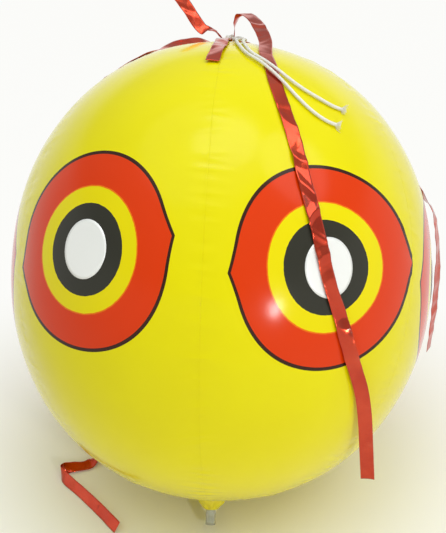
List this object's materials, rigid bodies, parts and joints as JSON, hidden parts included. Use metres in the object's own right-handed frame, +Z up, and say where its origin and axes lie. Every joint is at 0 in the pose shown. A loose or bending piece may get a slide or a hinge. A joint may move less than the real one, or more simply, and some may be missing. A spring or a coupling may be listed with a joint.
{
  "type": "bird scare balloon",
  "caption": "Inflated yellow vinyl scare-eye ball with printed eye rings, foil pupils, a tied string and red film streamers at its crown and a push-in valve below.",
  "frame": {"origin": "centre of the flat that the ball's weight presses into its underside, on the table", "axes": "+Z up from the table, -Y towards the side with the two front eyes and the valve, +X to its right; the ball's own axis leans back 33 degrees from +Z"},
  "size_m": [0.4164, 0.4147, 0.4512],
  "materials": {
    "yellow_vinyl": "glossy soft vinyl film",
    "silver_foil": "satin metallised foil sticker",
    "red_film": "creased metallised film",
    "white_cord": "soft braided cord",
    "clear_vinyl": "clear soft vinyl"
  },
  "bodies": {
    "balloon": {"gore_panel_1": "yellow_vinyl", "gore_panel_2": "yellow_vinyl", "gore_panel_3": "yellow_vinyl", "gore_panel_4": "yellow_vinyl", "gore_panel_5": "yellow_vinyl", "gore_panel_6": "yellow_vinyl", "pupil_disc_1": "silver_foil", "pupil_disc_2": "silver_foil", "pupil_disc_3": "silver_foil", "pupil_disc_4": "silver_foil", "pupil_disc_5": "silver_foil", "pupil_disc_6": "silver_foil", "crown_patch": "yellow_vinyl", "hang_tab": "yellow_vinyl", "string_knot": "white_cord", "streamer_gather": "red_film", "valve_boot": "yellow_vinyl"},
    "front_streamer": {"streamer_front": "red_film", "string_strand_upper": "white_cord", "string_strand_lower": "white_cord"},
    "right_streamer": {"streamer_right": "red_film"},
    "left_streamer": {"streamer_left": "red_film"},
    "back_streamer": {"streamer_back": "red_film"},
    "tail_streamer": {"streamer_tail": "red_film"},
    "valve_stem": {"valve_stem": "clear_vinyl"},
    "valve_flap": {"valve_flap": "clear_vinyl"},
    "valve_plug": {"valve_plug": "clear_vinyl"}
  },
  "joints": [
    {"name": "front_streamer_lift", "type": "hinge", "parent": "balloon", "child": "front_streamer", "pos_m": [0.01295, 0.12966, 0.40413], "axis": [-0.9572, -0.2171, 0.1913], "range_deg": [0, 34]},
    {"name": "right_streamer_lift", "type": "hinge", "parent": "balloon", "child": "right_streamer", "pos_m": [0.01282, 0.12886, 0.40171], "axis": [-0.1453, -0.8259, 0.5447], "range_deg": [0, 50]},
    {"name": "left_streamer_lift", "type": "hinge", "parent": "balloon", "child": "left_streamer", "pos_m": [0.00199, 0.12828, 0.40328], "axis": [-0.0285, 0.8387, -0.5439], "range_deg": [0, 16]},
    {"name": "back_streamer_lift", "type": "hinge", "parent": "balloon", "child": "back_streamer", "pos_m": [0.00208, 0.12883, 0.40509], "axis": [0.686, 0.593, -0.4216], "range_deg": [0, 40]},
    {"name": "tail_streamer_lift", "type": "hinge", "parent": "balloon", "child": "tail_streamer", "pos_m": [0.00743, 0.12366, 0.40286], "axis": [-0.9908, 0.1312, -0.0334], "range_deg": [0, 50]},
    {"name": "valve_push_in", "type": "slide", "parent": "balloon", "child": "valve_stem", "axis": [0.0439, 0.5446, 0.8375], "range_m": [0, 0.012]},
    {"name": "valve_plug_pull", "type": "slide", "parent": "valve_stem", "child": "valve_plug", "axis": [-0.0439, -0.5446, -0.8375], "range_m": [0, 0.008]},
    {"name": "valve_flap_open", "type": "hinge", "parent": "valve_stem", "child": "valve_flap", "pos_m": [-0.00843, -0.11047, 0.0335], "axis": [0.9986, 0, -0.0523], "range_deg": [0, 60]}
  ]
}
